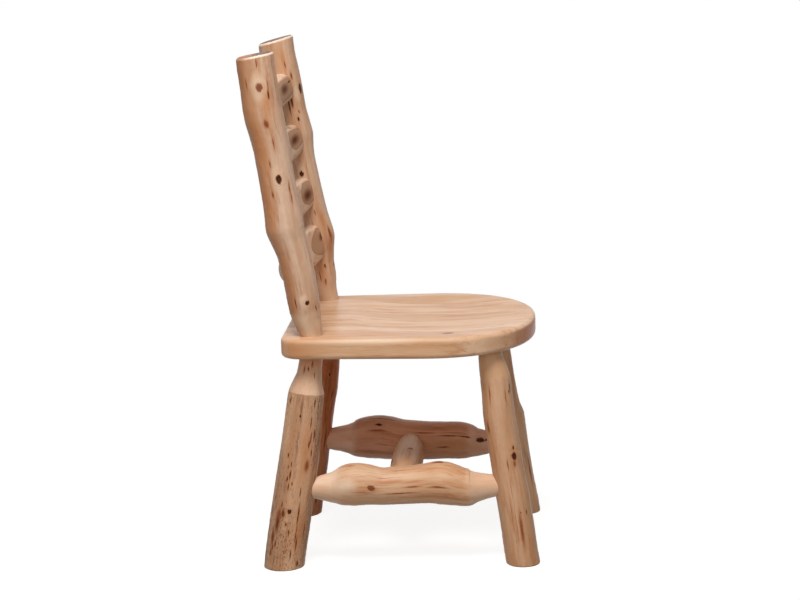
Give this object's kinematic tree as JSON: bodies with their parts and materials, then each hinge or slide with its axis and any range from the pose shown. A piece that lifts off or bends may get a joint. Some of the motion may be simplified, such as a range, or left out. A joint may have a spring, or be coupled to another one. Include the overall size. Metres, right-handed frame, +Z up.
{
  "type": "dining chair",
  "caption": "Rustic ladder-back side chair of peeled logs: hollowed log rungs between leaning posts, a dished plank seat and bulged log stretchers, all round mortise and tenon.",
  "frame": {"origin": "on the floor, under the middle of the box round the whole chair", "axes": "+Z up, -Y to the front of the chair, +X to the sitter's left"},
  "size_m": [0.472, 0.5528, 1.0039],
  "materials": {
    "log": "satin clear coat over peeled sapwood",
    "weathered_log": "satin clear coat over darker, speckled wood",
    "rung": "satin clear coat, heartwood bare on the contour",
    "seat": "satin clear coat over sanded boards"
  },
  "bodies": {
    "root": {"front_leg_right": "log", "front_leg_left": "log", "rear_leg_right": "weathered_log", "rear_leg_left": "weathered_log", "back_post_right": "log", "back_post_left": "log", "back_rung_1": "rung", "back_rung_2": "rung", "back_rung_3": "rung", "back_rung_4": "rung", "side_stretcher_right": "log", "side_stretcher_left": "log", "cross_stretcher": "log", "seat_board_1": "seat", "seat_board_2": "seat", "seat_board_3": "seat", "seat_board_4": "seat", "seat_board_5": "seat"}
  },
  "joints": []
}
